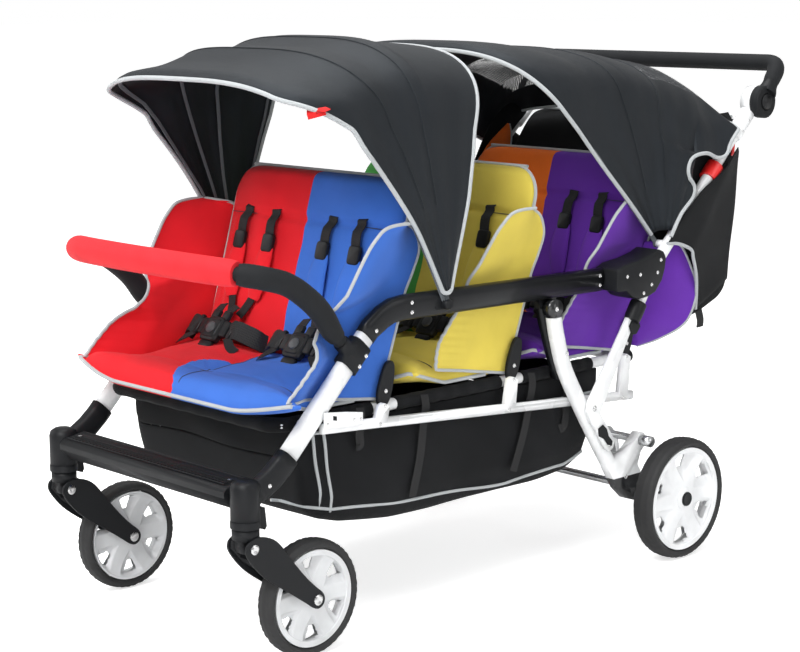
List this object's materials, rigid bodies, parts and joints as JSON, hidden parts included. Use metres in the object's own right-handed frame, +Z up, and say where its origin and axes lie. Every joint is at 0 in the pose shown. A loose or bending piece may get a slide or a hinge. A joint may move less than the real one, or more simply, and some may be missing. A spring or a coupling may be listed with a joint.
{
  "type": "six-seat stroller",
  "caption": "Long stroller with three double-width seat rows, two canopies, swivelling sprung castors, folding rear legs and an angled push handle.",
  "frame": {"origin": "middle of the footprint, on the floor", "axes": "+Z up, -Y the front, +X the rider's left side"},
  "size_m": [0.764, 1.487, 1.0842],
  "materials": {
    "frame_white": "satin",
    "moulding_black": "matte",
    "foam_black": "fine foam grain",
    "foam_red": "padded sleeve",
    "trigger_red": "semi gloss",
    "button_grey": "matte",
    "tyre_black": "matte",
    "rim_grey": "satin",
    "steel": "zinc plated",
    "board_black": "matte",
    "cloth_row_1": "woven polyester, red and blue halves",
    "cloth_row_2": "woven polyester, green and yellow halves",
    "cloth_row_3": "woven polyester, orange and purple halves",
    "cloth_black": "woven polyester with pale piping",
    "webbing": "ribbed webbing",
    "piping_grey": "pale grey piping"
  },
  "bodies": {
    "chassis": {"side_beam_left": "moulding_black", "front_leg_left": "frame_white", "leg_knuckle_left": "moulding_black", "caster_head_left": "moulding_black", "rear_knuckle_left": "moulding_black", "handle_tube_left": "frame_white", "side_beam_right": "moulding_black", "front_leg_right": "frame_white", "leg_knuckle_right": "moulding_black", "caster_head_right": "moulding_black", "rear_knuckle_right": "moulding_black", "handle_tube_right": "frame_white", "footrest_bar": "moulding_black", "seat_rail": "frame_white", "seat_base_1": "cloth_row_1", "seat_base_2": "cloth_row_2", "seat_base_3": "cloth_row_3", "front_canopy": "cloth_black", "rear_canopy": "cloth_black", "rear_bag": "cloth_black", "basket": "cloth_black"},
    "back_1": {"back_board_1": "board_black", "seat_back_1": "cloth_row_1"},
    "back_2": {"back_board_2": "board_black", "seat_back_2": "cloth_row_2"},
    "back_3": {"back_board_3": "board_black", "seat_back_3": "cloth_row_3"},
    "link_rails": {"link_rail_left": "frame_white", "link_rail_right": "frame_white"},
    "rear_legs": {"rear_leg_left": "frame_white", "rear_leg_right": "frame_white", "rear_axle": "steel"},
    "braces": {"brace_left": "frame_white", "brace_right": "frame_white"},
    "slider_left": {"fold_slider_left": "trigger_red"},
    "button_left": {"hub_button_left": "button_grey"},
    "yoke_left": {"caster_yoke_left": "moulding_black"},
    "fork_left": {"caster_fork_left": "moulding_black"},
    "front_wheel_left": {"front_tyre_left": "tyre_black", "front_rim_left": "rim_grey"},
    "rear_wheel_left": {"rear_tyre_left": "tyre_black", "rear_rim_left": "rim_grey"},
    "lock_left": {"swivel_lock_left": "moulding_black"},
    "slider_right": {"fold_slider_right": "trigger_red"},
    "button_right": {"hub_button_right": "button_grey"},
    "yoke_right": {"caster_yoke_right": "moulding_black"},
    "fork_right": {"caster_fork_right": "moulding_black"},
    "front_wheel_right": {"front_tyre_right": "tyre_black", "front_rim_right": "rim_grey"},
    "rear_wheel_right": {"rear_tyre_right": "tyre_black", "rear_rim_right": "rim_grey"},
    "lock_right": {"swivel_lock_right": "moulding_black"},
    "brake": {"brake_bar": "steel"},
    "bumper": {"bumper_bar": "foam_black", "bumper_sleeve": "foam_red"},
    "handle": {"handle_bar": "foam_black"},
    "bow_mid_b": {"canopy_bow_mid_b": "moulding_black"},
    "bow_mid_a": {"canopy_bow_mid_a": "moulding_black"},
    "bow_front": {"canopy_bow_front": "moulding_black"},
    "rear_bow": {"rear_canopy_bow": "moulding_black"}
  },
  "joints": [
    {"name": "frame_fold", "type": "hinge", "parent": "chassis", "child": "rear_legs", "pos_m": [0, 0.0535, 0.556], "axis": [-1, 0, 0], "range_deg": [0, 90], "deforming": ["basket"]},
    {"name": "brace_fold", "type": "hinge", "parent": "rear_legs", "child": "braces", "pos_m": [0, 0.1605, 0.343], "axis": [1, 0, 0], "range_deg": [0, 41]},
    {"name": "back_fold_1", "type": "hinge", "parent": "chassis", "child": "back_1", "pos_m": [0, -0.3705, 0.45], "axis": [1, 0, 0], "range_deg": [0, 42]},
    {"name": "back_fold_2", "type": "hinge", "parent": "chassis", "child": "back_2", "pos_m": [0, -0.0275, 0.45], "axis": [1, 0, 0], "range_deg": [0, 42]},
    {"name": "back_fold_3", "type": "hinge", "parent": "chassis", "child": "back_3", "pos_m": [0, 0.3155, 0.45], "axis": [1, 0, 0], "range_deg": [0, 42]},
    {"name": "link_slide", "type": "slide", "parent": "chassis", "child": "link_rails", "axis": [0, 1, 0], "range_m": [0, 0.036]},
    {"name": "handle_angle", "type": "hinge", "parent": "chassis", "child": "handle", "pos_m": [0, 0.6735, 0.935], "axis": [1, 0, 0], "range_deg": [-75, 60]},
    {"name": "hub_button_left", "type": "slide", "parent": "handle", "child": "button_left", "axis": [-1, 0, 0], "range_m": [0, 0.004], "stiffness_N_per_m": 1200, "springref_m": -0.002},
    {"name": "fold_trigger_left", "type": "slide", "parent": "chassis", "child": "slider_left", "axis": [-0.0126, 0.7212, 0.6926], "range_m": [0, 0.015], "stiffness_N_per_m": 600, "springref_m": -0.004},
    {"name": "castor_swivel_left", "type": "hinge", "parent": "chassis", "child": "yoke_left", "pos_m": [0.274, -0.7075, 0.2617], "axis": [0, 0, 1], "continuous": true},
    {"name": "suspension_left", "type": "hinge", "parent": "yoke_left", "child": "fork_left", "pos_m": [0.274, -0.7095, 0.228], "axis": [1, 0, 0], "range_deg": [0, 8], "stiffness_Nm_per_rad": 60, "springref_deg": -17.19},
    {"name": "front_wheel_spin_left", "type": "hinge", "parent": "fork_left", "child": "front_wheel_left", "pos_m": [0.274, -0.5665, 0.1067], "axis": [1, 0, 0], "continuous": true},
    {"name": "rear_wheel_spin_left", "type": "hinge", "parent": "rear_legs", "child": "rear_wheel_left", "pos_m": [0.359, 0.3835, 0.127], "axis": [1, 0, 0], "continuous": true},
    {"name": "swivel_lock_left", "type": "slide", "parent": "chassis", "child": "lock_left", "axis": [0, 0, -1], "range_m": [0, 0.006]},
    {"name": "hub_button_right", "type": "slide", "parent": "handle", "child": "button_right", "axis": [1, 0, 0], "range_m": [0, 0.004], "stiffness_N_per_m": 1200, "springref_m": -0.002},
    {"name": "fold_trigger_right", "type": "slide", "parent": "chassis", "child": "slider_right", "axis": [0.0126, 0.7212, 0.6926], "range_m": [0, 0.015], "stiffness_N_per_m": 600, "springref_m": -0.004},
    {"name": "castor_swivel_right", "type": "hinge", "parent": "chassis", "child": "yoke_right", "pos_m": [-0.274, -0.7075, 0.2617], "axis": [0, 0, 1], "continuous": true},
    {"name": "suspension_right", "type": "hinge", "parent": "yoke_right", "child": "fork_right", "pos_m": [-0.274, -0.7095, 0.228], "axis": [1, 0, 0], "range_deg": [0, 8], "stiffness_Nm_per_rad": 60, "springref_deg": -17.19},
    {"name": "front_wheel_spin_right", "type": "hinge", "parent": "fork_right", "child": "front_wheel_right", "pos_m": [-0.274, -0.5665, 0.1067], "axis": [1, 0, 0], "continuous": true},
    {"name": "rear_wheel_spin_right", "type": "hinge", "parent": "rear_legs", "child": "rear_wheel_right", "pos_m": [-0.359, 0.3835, 0.127], "axis": [1, 0, 0], "continuous": true},
    {"name": "swivel_lock_right", "type": "slide", "parent": "chassis", "child": "lock_right", "axis": [0, 0, -1], "range_m": [0, 0.006]},
    {"name": "bumper_slide", "type": "slide", "parent": "chassis", "child": "bumper", "axis": [0, -0.7071, 0.7071], "range_m": [0, 0.05]},
    {"name": "bow_fold_mid_b", "type": "hinge", "parent": "chassis", "child": "bow_mid_b", "pos_m": [0, -0.2495, 0.6], "axis": [-1, 0, 0], "range_deg": [0, 20], "deforming": ["front_canopy"]},
    {"name": "bow_fold_mid_a", "type": "hinge", "parent": "bow_mid_b", "child": "bow_mid_a", "pos_m": [0, -0.2495, 0.6], "axis": [-1, 0, 0], "range_deg": [0, 12]},
    {"name": "bow_fold_front", "type": "hinge", "parent": "bow_mid_a", "child": "bow_front", "pos_m": [0, -0.2495, 0.6], "axis": [-1, 0, 0], "range_deg": [0, 12]},
    {"name": "rear_bow_fold", "type": "hinge", "parent": "chassis", "child": "rear_bow", "pos_m": [0, 0.3725, 0.655], "axis": [-1, 0, 0], "range_deg": [0, 70], "deforming": ["rear_canopy"]},
    {"name": "brake_turn", "type": "hinge", "parent": "rear_legs", "child": "brake", "pos_m": [0, 0.3235, 0.25], "axis": [1, 0, 0], "range_deg": [0, 25]}
  ],
  "couplings": [
    {"joint": "brace_fold", "follows": "frame_fold", "ratio": 0.45},
    {"joint": "back_fold_2", "follows": "back_fold_1", "ratio": 1},
    {"joint": "back_fold_3", "follows": "back_fold_1", "ratio": 1},
    {"joint": "link_slide", "follows": "back_fold_1", "m_per_rad": 0.034},
    {"joint": "bow_fold_mid_a", "follows": "bow_fold_mid_b", "ratio": 0.6},
    {"joint": "bow_fold_front", "follows": "bow_fold_mid_b", "ratio": 0.6}
  ]
}
